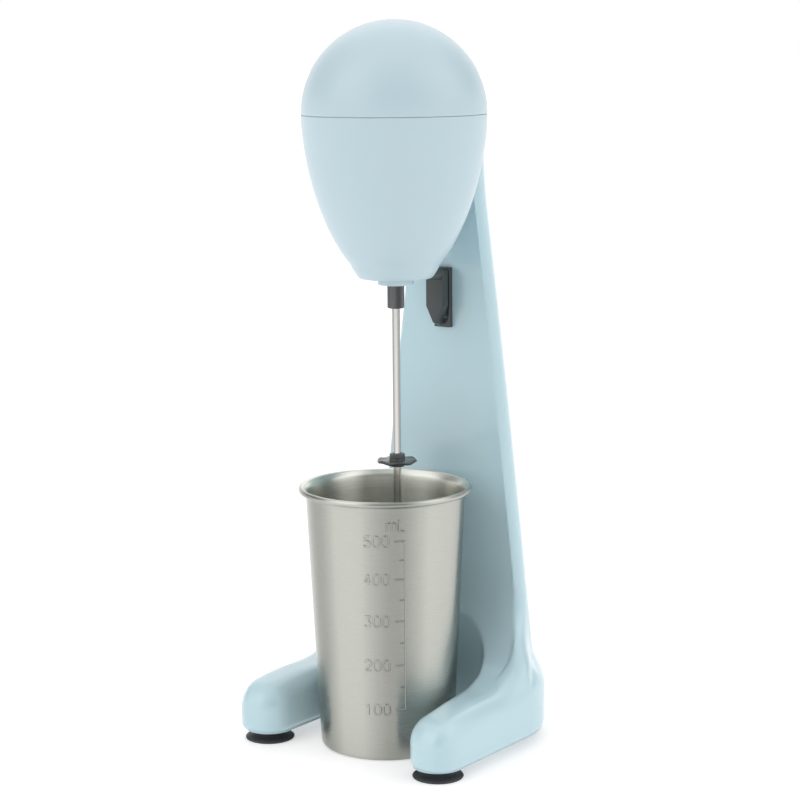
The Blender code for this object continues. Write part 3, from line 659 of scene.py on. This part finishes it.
def stand():
    mesh = stand_mesh()
    split_y = COVER_LOW.y
    split_z = COVER_LOW.z

    cover = bmesh.new()
    cover.from_mesh(mesh)
    keep_side(cover, (0, split_y, 0), (0, -1, 0))
    keep_side(cover, (0, 0, split_z), (0, 0, -1))
    rear = from_bmesh("rear_cover_shell", cover, MATERIALS["gloss"], STAND_SMOOTHING, fix_normals=False)
    piece(rear, "stand", "blue_plastic", "back_cover")

    front = bmesh.new()
    front.from_mesh(mesh)
    keep_side(front, (0, split_y - GAP, 0), (0, 1, 0))
    housing = from_bmesh("stand_front_shell", front, MATERIALS["gloss"], STAND_SMOOTHING, fix_normals=False)
    piece(housing, "stand", "blue_plastic", "stand_housing")

    heel = bmesh.new()
    heel.from_mesh(mesh)
    keep_side(heel, (0, split_y - GAP, 0), (0, -1, 0))
    keep_side(heel, (0, 0, split_z - GAP), (0, 0, 1))
    lower = from_bmesh("stand_heel_shell", heel, MATERIALS["gloss"], STAND_SMOOTHING, fix_normals=False)
    piece(lower, "stand", "blue_plastic")
    bpy.data.meshes.remove(mesh)


# --- Head --------------------------------------------------------------------------------------


def head_shell():
    """Egg-shaped lower shell, open above, with a tongue that the dome sits over."""
    low = HEAD_BOTTOM
    top = SEAM_Z - SEAM_WIDTH / 2
    lower_edge = [(HEAD_FLAT_RADIUS, low), (18.9, low + 0.3), (19.8, low + 1.1), (22.5, low + 5.3)]
    outside = [(HEAD_OPENING, low), (HEAD_FLAT_RADIUS, low)] + rounded(lower_edge, 0.9)[1:]
    start = low + 7.5
    steps = 48
    for step in range(steps + 1):
        z = start + (top - SEAM_LIP - start) * step / steps
        outside.append((float(egg_radius(z)), z))
    outside += arc((HEAD_RADIUS - SEAM_LIP, top - SEAM_LIP), SEAM_LIP, 10, 90, 3)

    inner, tongue_top = HEAD_RADIUS - HEAD_WALL, top + 1.6
    inside = [(TONGUE_RADIUS, top), (TONGUE_RADIUS, tongue_top), (inner, tongue_top), (inner, top)]
    floor_rise = 6.0
    steps = 16
    for step in range(steps):
        z = top - (top - low - HEAD_WALL - floor_rise) * (step + 1) / steps
        inside.append((float(egg_radius(z)) - HEAD_WALL, z))
    inside += [(HEAD_FLAT_RADIUS - 1.0, low + HEAD_WALL), (HEAD_OPENING, low + HEAD_WALL)]
    shell = turned("head_lower_shell", outside + inside, MATERIALS["blue"], 160)
    piece(shell, "stand", "blue_plastic", "motor_housing")


def head_dome():
    """Half-round top with a thin wall, over the tongue."""
    base = SEAM_Z + SEAM_WIDTH / 2
    inner = HEAD_RADIUS - HEAD_WALL
    groove = TONGUE_RADIUS + 0.1
    outside = [(groove, base + 2.0), (groove, base)]
    outside += arc((HEAD_RADIUS - SEAM_LIP, base + SEAM_LIP), SEAM_LIP, -90, -10, 3)
    outside += arc((0.0, SEAM_Z), HEAD_RADIUS, 1.5, 90, 40)
    outside[-1] = (0.0, SEAM_Z + HEAD_RADIUS)
    inside = arc((0.0, SEAM_Z), inner, 90, 4, 24)
    inside[0] = (0.0, SEAM_Z + inner)
    profile = list(reversed(outside)) + list(reversed(inside))
    piece(turned("head_dome", profile, MATERIALS["blue"], 160), "stand", "blue_plastic", "dome_cover")


def head_collar():
    low, high = node_box("collar_bush")
    bore, neck, rim = 4.9, 8.0, high.x
    collar = rounded([(bore, low.z), (rim, low.z), (rim, HEAD_BOTTOM - GAP), (neck, HEAD_BOTTOM - GAP)], 0.5)
    collar += [(neck, high.z), (bore, high.z)]
    piece(turned("head_collar", collar, MATERIALS["blue"], 96), "stand", "blue_plastic", "collar_bush")


def head():
    head_shell()
    head_dome()
    head_collar()


# --- Spindle -----------------------------------------------------------------------------------


def spindle():
    low, high = node_box("drive_coupling")
    radius = high.x
    shaft_bore, cone_low, cone_high = 2.8, low.z + 11.7, low.z + 14.2
    sleeve = rounded([(ROD_BORE, low.z), (radius, low.z), (radius, high.z), (shaft_bore, high.z)], 1.1, 5)
    sleeve += [(shaft_bore, cone_high), (ROD_BORE, cone_low)]
    hub = turned("coupling_sleeve", sleeve, MATERIALS["hub"], 64)
    piece(hub, "rotor", "black_plastic", "drive_coupling")

    low, high = node_box("spindle_rod")
    radius = high.x
    end, edge = 0.2, 0.6
    rod = [(0.0, low.z)] + rounded([(end, low.z), (radius, low.z), (radius, high.z), (end, high.z)], edge)
    rod += [(0.0, high.z)]
    piece(turned("polished_rod", rod, MATERIALS["rod"], 48), "spindle", "polished_steel", "spindle_rod")
    for node, name in (("mixing_disc_upper", "wavy_disc_upper"), ("mixing_disc_lower", "wavy_disc_lower")):
        piece(wavy_disc(name, *node_box(node)), "spindle", "black_plastic", node)


def wavy_disc(name, low, high):
    """Stirring disc: a hub with a plate whose edge rises and falls in waves."""
    hub_below, hub_above = 2.9, 4.0
    hub, hub_end, foot, plate, edge = 4.1, 3.7, 0.5, 0.8, 0.7
    waves, wave_height = 6, 0.32
    z = low.z + hub_below
    radius = high.x - 0.05
    root = hub + foot
    across = radius - hub - 1.1
    profile = [(ROD_BORE, z - hub_below), (hub_end, z - hub_below), (hub, z - 2.5), (hub, z - 1.3),
               (root, z - 0.85)]
    for step in range(1, 9):
        profile.append((root + across * step / 8, z - plate))
    profile += arc((radius - edge, z), edge, -70, 70, 6)
    for step in range(8, 0, -1):
        profile.append((root + across * step / 8, z + plate))
    profile += [(root, z + 0.85), (hub, z + 1.3), (hub, z + 3.6), (hub_end, z + hub_above),
                (ROD_BORE, z + hub_above)]
    bm = bmesh.new()
    steps = 144
    rows = []
    for r, height in profile:
        share = max(0.0, min(1.0, (r - hub - foot) / (radius - hub - foot)))
        row = []
        for step in range(steps):
            angle = math.tau * step / steps
            lift = wave_height * share * math.sin(waves * angle)
            row.append(bm.verts.new((r * math.cos(angle), r * math.sin(angle), height + lift)))
        rows.append(row)
    for lower, upper in zip(rows, rows[1:] + rows[:1]):
        for i in range(steps):
            j = (i + 1) % steps
            bm.faces.new((lower[i], lower[j], upper[j], upper[i]))
    return from_bmesh(name, bm, MATERIALS["black"])


# --- Cup ---------------------------------------------------------------------------------------

CUP_SLOPE = (CUP_TOP_RADIUS - CUP_BASE_RADIUS) / (CUP_RIM_Z - CUP_NECK)
MARKS = {"500": 118.4, "400": 98.2, "300": 75.9, "200": 52.2, "100": 28.3}
MARK_ANGLE = -52.0
MARK_HEIGHT = 0.55
LETTER_PITCH = 0.86
STROKE_WIDTH = 1.1
LINE_WIDTH = 1.0
SHORT_TICK_WIDTH = 0.8
RIB = ((-1.0, -0.25), (-0.75, 0.55), (-0.3, 0.95), (0.3, 0.95), (0.75, 0.55), (1.0, -0.25))


def cup_radius(z):
    return CUP_BASE_RADIUS + CUP_SLOPE * z


def cup():
    top_z = CUP_RIM_Z - 4.2
    top_radius = cup_radius(top_z)
    corner = 2.6
    ring = CUP_BASE_RADIUS - corner
    hollow = CUP_BASE_RADIUS - 6.5
    steps = 24
    outside = [(0.0, CUP_HOLLOW), (hollow, CUP_HOLLOW)]
    outside += rounded([(hollow, CUP_HOLLOW), (CUP_BASE_RADIUS - 5.0, 0.0), (ring, 0.0)], 0.8)[1:]
    outside += arc((ring, corner), corner, -80, 0, 8)
    start = 3.0
    for step in range(1, steps + 1):
        z = start + (top_z - start) * step / steps
        outside.append((cup_radius(z), z))
    outside += rounded([(top_radius, top_z), (CUP_TOP_RADIUS + 0.2, CUP_RIM_Z - 2.6),
                        (CUP_RIM_RADIUS - 0.9, CUP_RIM_Z - 1.3)], 1.6)[1:]
    bead = arc((CUP_RIM_RADIUS, CUP_RIM_Z), CUP_BEAD, -100, 150, 20)
    inside = rounded([bead[-1], (top_radius - CUP_WALL + 0.5, CUP_RIM_Z - 1.2),
                      (top_radius - CUP_WALL, top_z)], 2.0)[1:]
    start = 4.5
    for step in range(steps - 1, 0, -1):
        z = start + (top_z - start) * step / steps
        inside.append((cup_radius(z) - CUP_WALL, z))
    inner = CUP_BASE_RADIUS - CUP_WALL
    inside += rounded([(inner, start), (inner - 0.3, CUP_FLOOR),
                       (CUP_BASE_RADIUS - 6.0, CUP_FLOOR)], 2.4, 6)[1:]
    inside += [(0.0, CUP_FLOOR)]
    profile = outside + bead + inside
    shell = turned("steel_cup", profile, MATERIALS["cup"], 192, (0.0, CUP_Y), smooth_angle=40.0)
    piece(shell, "cup", "cup_steel", "cup")
    cup_marks()


def onto_cup(across, z, raised):
    """A point at a distance across the scale, at a height, standing proud of the cup's wall."""
    radius = cup_radius(z) + raised
    angle = math.radians(MARK_ANGLE) + across / cup_radius(z)
    return (radius * math.cos(angle), CUP_Y + radius * math.sin(angle), z)


def raised_strip(bm, points, width):
    """A rounded rib of the marks' height along points of (across, z) on the cup."""
    rings = []
    for i, (across, z) in enumerate(points):
        before = points[max(0, i - 1)]
        after = points[min(len(points) - 1, i + 1)]
        run = Vector((after[0] - before[0], after[1] - before[1])).normalized()
        side = Vector((-run.y, run.x))
        ring = []
        for share, lift in RIB:
            spot = Vector((across, z)) + side * share * width / 2
            ring.append(bm.verts.new(onto_cup(spot.x, spot.y, lift * MARK_HEIGHT)))
        rings.append(ring)
    for first, second in zip(rings, rings[1:]):
        for i in range(len(first)):
            j = (i + 1) % len(first)
            bm.faces.new((first[i], first[j], second[j], second[i]))
    bm.faces.new(list(reversed(rings[0])))
    bm.faces.new(rings[-1])


STROKES = {
    "0": [[(0.0, 0.25), (0.0, 0.75), (0.15, 1.0), (0.45, 1.0), (0.6, 0.75), (0.6, 0.25), (0.45, 0.0),
           (0.15, 0.0), (0.0, 0.25)]],
    "1": [[(0.1, 0.8), (0.32, 1.0), (0.32, 0.0)]],
    "2": [[(0.0, 0.78), (0.12, 1.0), (0.48, 1.0), (0.6, 0.78), (0.55, 0.55), (0.0, 0.0), (0.6, 0.0)]],
    "3": [[(0.02, 1.0), (0.6, 1.0), (0.3, 0.62), (0.6, 0.35), (0.5, 0.05), (0.2, 0.0), (0.0, 0.12)]],
    "4": [[(0.42, 0.0), (0.42, 1.0), (0.0, 0.3), (0.62, 0.3)]],
    "5": [[(0.56, 1.0), (0.08, 1.0), (0.04, 0.55), (0.4, 0.6), (0.6, 0.38), (0.52, 0.05), (0.2, 0.0),
           (0.0, 0.12)]],
    "m": [[(0.0, 0.0), (0.0, 0.62)], [(0.0, 0.46), (0.12, 0.62), (0.3, 0.62), (0.38, 0.46), (0.38, 0.0)],
          [(0.38, 0.46), (0.5, 0.62), (0.68, 0.62), (0.76, 0.46), (0.76, 0.0)]],
    "L": [[(0.0, 1.0), (0.0, 0.0), (0.5, 0.0)]],
}


def write_on_cup(bm, text, left, base, size):
    """Draws text in raised strokes from a left edge and a base line."""
    for place, letter in enumerate(text):
        for stroke in STROKES[letter]:
            smooth = rounded(stroke, 0.14, 3) if len(stroke) > 2 else stroke
            start = left + place * size * LETTER_PITCH
            spots = [(start + x * size, base + z * size) for x, z in smooth]
            raised_strip(bm, spots, STROKE_WIDTH)


def cup_marks():
    """Numbers with ticks to a line on their right, raised from the sheet."""
    bm = bmesh.new()
    size = 5.6
    line = 8.8
    tick, short_tick = 5.2, 2.6
    text_width = 2.46 * size
    for text, height in MARKS.items():
        write_on_cup(bm, text, line - 7.4 - text_width, height - size / 2, size)
        raised_strip(bm, [(line - tick, height), (line, height)], LINE_WIDTH)
    heights = sorted(MARKS.values())
    for low, high in zip(heights, heights[1:]):
        middle = (low + high) / 2
        raised_strip(bm, [(line - short_tick, middle), (line, middle)], SHORT_TICK_WIDTH)
    steps = 30
    run = (heights[-1] - heights[0]) / steps
    raised_strip(bm, [(line, heights[0] + run * i) for i in range(steps + 1)], LINE_WIDTH)
    unit_base = heights[-1] + 5.4
    write_on_cup(bm, "m", line - 9.2, unit_base, 6.8)
    write_on_cup(bm, "L", line - 2.8, unit_base, 5.8)
    marks = from_bmesh("cup_volume_marks", bm, MATERIALS["cup"], 50.0)
    piece(marks, "cup", "cup_steel")


# --- Feet, base plate and switch ---------------------------------------------------------------


def feet():
    for node in ("foot_front_right", "foot_front_left", "foot_rear_right", "foot_rear_left"):
        low, high = node_box(node)
        centre = ((low.x + high.x) / 2, (low.y + high.y) / 2)
        radius, hollow, hollow_depth, stem, top = 13.2, 7.0, 0.9, 3.0, 5.2
        profile = [(0.0, hollow_depth), (hollow, hollow_depth)]
        profile += rounded([(hollow, hollow_depth), (10.8, 0.0), (radius - 0.3, 0.0), (radius, 0.7),
                            (radius - 0.5, 1.3), (9.6, 2.4), (7.6, top), (5.0, top)], 0.8)[1:]
        profile += [(stem, top), (stem, high.z), (0.0, high.z)]
        made = turned(f"rubber_{node}", profile, MATERIALS["rubber"], 96, centre)
        piece(made, "stand", "rubber", node)


def base_underside():
    """Plate that closes the base, with the same U-shape."""
    low, high = node_box("base_plate")
    inset = LEG_OUTSIDE - high.x
    nose_x = (LEG_OUTSIDE + LEG_INSIDE) / 2
    side = arc((LEG_OUTSIDE - HEEL_RADIUS, HEEL_REAR - HEEL_RADIUS), HEEL_RADIUS - inset, 90, 0, 24)
    side += arc((nose_x, LEG_FRONT + NOSE_RADIUS), NOSE_RADIUS - inset, 0, -180, 24)
    side += arc((LEG_INSIDE - RECESS_RADIUS, RECESS_REAR - RECESS_RADIUS), RECESS_RADIUS + inset, 0, 90, 16)
    outline = side + [(-x, y) for x, y in reversed(side)]
    bm = bmesh.new()
    rings = []
    for z in (low.z, high.z):
        rings.append([bm.verts.new((x, y, z)) for x, y in outline])
    count = len(outline)
    for i in range(count):
        j = (i + 1) % count
        bm.faces.new((rings[0][i], rings[0][j], rings[1][j], rings[1][i]))
    bottom = bm.faces.new(list(reversed(rings[0])))
    bm.faces.new(rings[1])
    round_edges(bm, list(bottom.edges), 0.5)
    plate = from_bmesh("base_closing_plate", bm, MATERIALS["blue_inside"])
    piece(plate, "stand", "plate_plastic", "base_plate")


def switch_frame(low, high):
    """Plate with a slot, in which the rocker's neck swings."""
    middle = (low.z + high.z) / 2
    outer = ((low.x, low.z), (high.x, low.z), (high.x, high.z), (low.x, high.z))
    slot_low, slot_high = middle - SLOT_HALF_HEIGHT, middle + SLOT_HALF_HEIGHT
    inner = ((-SLOT_HALF_WIDTH, slot_low), (SLOT_HALF_WIDTH, slot_low),
             (SLOT_HALF_WIDTH, slot_high), (-SLOT_HALF_WIDTH, slot_high))
    bm = bmesh.new()
    rings = [[bm.verts.new((x, y, z)) for x, z in loop] for y in (low.y, high.y) for loop in (outer, inner)]
    front_outer, front_inner, rear_outer, rear_inner = rings
    for i in range(4):
        j = (i + 1) % 4
        bm.faces.new((front_outer[i], front_outer[j], front_inner[j], front_inner[i]))
        bm.faces.new((rear_outer[j], rear_outer[i], rear_inner[i], rear_inner[j]))
        bm.faces.new((front_outer[j], front_outer[i], rear_outer[i], rear_outer[j]))
        bm.faces.new((front_inner[i], front_inner[j], rear_inner[j], rear_inner[i]))
    outside = set(front_outer) | set(rear_outer)
    edges = [edge for edge in bm.edges if set(edge.verts) <= outside]
    round_edges(bm, edges, 0.45)
    return from_bmesh("switch_frame", bm, MATERIALS["black"])


def rocker(z_mid, back):
    """Shield-shaped paddle: its rear outline reaches higher and lower than the front one."""
    wide, tip_wide = PADDLE_HIGH.x, 0.7
    top, shoulder, tip = z_mid + 10.4, z_mid - 4.3, z_mid - 13.0
    outline = [(-wide, top), (wide, top), (wide, shoulder),
               (tip_wide, tip), (-tip_wide, tip), (-wide, shoulder)]
    bm = bmesh.new()
    rings = []
    for y, up, down in ((PADDLE_LOW.y, 0.0, 0.0), (back, 4.6, 2.2)):
        ring = []
        for x, z in outline:
            ring.append(bm.verts.new((x, y, z + (up if z == top else -down if z == tip else 0.0))))
        rings.append(ring)
    bm.faces.new(rings[0])
    bm.faces.new(list(reversed(rings[1])))
    for i in range(len(outline)):
        j = (i + 1) % len(outline)
        bm.faces.new((rings[0][i], rings[1][i], rings[1][j], rings[0][j]))
    round_edges(bm, bm.edges[:], 0.35)
    return from_bmesh("switch_rocker", bm, MATERIALS["black"])


def switch():
    """Frame, rocker and the neck between them, which reaches through the frame's slot with room to rock."""
    piece(switch_frame(BEZEL_LOW, BEZEL_HIGH), "stand", "black_plastic", "switch_bezel")

    z_mid = (BEZEL_LOW.z + BEZEL_HIGH.z) / 2
    back = BEZEL_LOW.y - ROCKER_GAP
    piece(rocker(z_mid, back), "switch_paddle", "black_plastic", "switch_paddle")

    wide, low, high = NECK_HALF_WIDTH, z_mid - NECK_HALF_HEIGHT, z_mid + NECK_HALF_HEIGHT
    neck_outline = [(-wide, low), (wide, low), (wide, high), (-wide, high)]
    neck = block("switch_neck", neck_outline, back - 0.5, BEZEL_HIGH.y - 1.1, MATERIALS["black"], 0.3)
    piece(neck, "switch_paddle", "black_plastic")


# --- Stage -------------------------------------------------------------------------------------


def camera():
    """Camera to the front right, a little above, with a long lens."""
    yaw, pitch, roll = 0.63676, 0.16698, 0.0088
    distance, height, across = 1.14192, 0.37559, 0.00174
    made = bpy.data.objects.new("camera", bpy.data.cameras.new("camera"))
    bpy.context.scene.collection.objects.link(made)
    made.data.sensor_width = 36.0
    made.data.lens = 99.16
    made.data.clip_end = 20.0
    x = distance * math.sin(yaw) + across * math.cos(yaw)
    y = -distance * math.cos(yaw) + across * math.sin(yaw)
    made.location = AXIS + Vector((x, y, height))
    turn = Matrix.Rotation(yaw, 4, "Z") @ Matrix.Rotation(math.pi / 2 - pitch, 4, "X")
    made.rotation_euler = (turn @ Matrix.Rotation(-roll, 4, "Z")).to_euler()
    bpy.context.scene.camera = made


def direction(azimuth, elevation):
    """Unit vector from an azimuth, turned from the user's side towards +X, and an elevation in degrees."""
    turn, rise = math.radians(azimuth), math.radians(elevation)
    return (math.sin(turn) * math.cos(rise), -math.cos(turn) * math.cos(rise), math.sin(rise))


STUDIO_LEVEL = 0.71
# Each part of the studio: its middle, the angles at which it ends and is full, and what it adds.
STUDIO = (
    ("front softbox", direction(-24, 24), 40, 14, 0.97),
    ("right softbox", direction(108, 22), 40, 16, 0.78),
    ("white wall", direction(216, 4), 60, 30, 0.40),
    ("ceiling", direction(0, 90), 75, 25, 0.56),
    ("dark end behind the camera", direction(40, 20), 56, 10, -0.70),
    ("dark left side", direction(-80, 22), 40, 10, -0.55),
    ("dark right corner", direction(160, 20), 32, 8, -0.50),
)
HORIZON = (5.0, 16.0)


def studio_light():
    """World that is white all round, with softboxes and darker gaps between them."""
    world = bpy.data.worlds.new("studio")
    bpy.context.scene.world = world
    world.use_nodes = True
    tree = world.node_tree
    background = tree.nodes["Background"]
    background.inputs["Color"].default_value = (1.0, 1.0, 1.0, 1.0)
    place = tree.nodes.new("ShaderNodeTexCoord").outputs["Generated"]
    total = None
    for label, vector, outer, inner, gain in STUDIO:
        dot = tree.nodes.new("ShaderNodeVectorMath")
        dot.label = label
        dot.operation = "DOT_PRODUCT"
        dot.inputs[1].default_value = vector
        tree.links.new(place, dot.inputs[0])
        spread = tree.nodes.new("ShaderNodeMapRange")
        spread.interpolation_type = "SMOOTHSTEP"
        spread.inputs["From Min"].default_value = math.cos(math.radians(outer))
        spread.inputs["From Max"].default_value = math.cos(math.radians(inner))
        spread.inputs["To Max"].default_value = gain
        tree.links.new(dot.outputs["Value"], spread.inputs["Value"])
        add = tree.nodes.new("ShaderNodeMath")
        add.operation = "ADD"
        add.inputs[0].default_value = STUDIO_LEVEL
        tree.links.new(spread.outputs["Result"], add.inputs[1])
        if total:
            tree.links.new(total, add.inputs[0])
        total = add.outputs["Value"]
    apart = tree.nodes.new("ShaderNodeSeparateXYZ")
    tree.links.new(place, apart.inputs["Vector"])
    above = tree.nodes.new("ShaderNodeMapRange")
    above.interpolation_type = "SMOOTHSTEP"
    above.inputs["From Min"].default_value = math.sin(math.radians(HORIZON[0]))
    above.inputs["From Max"].default_value = math.sin(math.radians(HORIZON[1]))
    tree.links.new(apart.outputs["Z"], above.inputs["Value"])
    horizon = tree.nodes.new("ShaderNodeMix")
    tree.links.new(above.outputs["Result"], horizon.inputs["Factor"])
    horizon.inputs["A"].default_value = 1.0
    tree.links.new(total, horizon.inputs["B"])
    tree.links.new(horizon.outputs["Result"], background.inputs["Strength"])


def stage():
    bm = bmesh.new()
    bmesh.ops.create_grid(bm, x_segments=1, y_segments=1, size=60.0)
    mesh = bpy.data.meshes.new("floor")
    bm.to_mesh(mesh)
    bm.free()
    material, tree, shader, place = nodes_for("pale_floor", (0.8, 0.8, 0.8), 0.6)
    tree.links.new(ramp(tree, noise(tree, place, 3.0), (0.64, 0.64, 0.64), (0.66, 0.66, 0.66)),
                   shader.inputs["Base Color"])
    shader.inputs["Specular IOR Level"].default_value = 0.1
    shader.inputs["Emission Color"].default_value = (1.0, 1.0, 1.0, 1.0)
    shader.inputs["Emission Strength"].default_value = 0.45
    mesh.materials.append(material)
    floor = bpy.data.objects.new("floor", mesh)
    bpy.context.scene.collection.objects.link(floor)
    studio_light()
    bpy.context.scene.view_settings.view_transform = "Standard"


finish_carried_over_nodes()
stand()
head()
spindle()
cup()
feet()
base_underside()
switch()
stage()
camera()
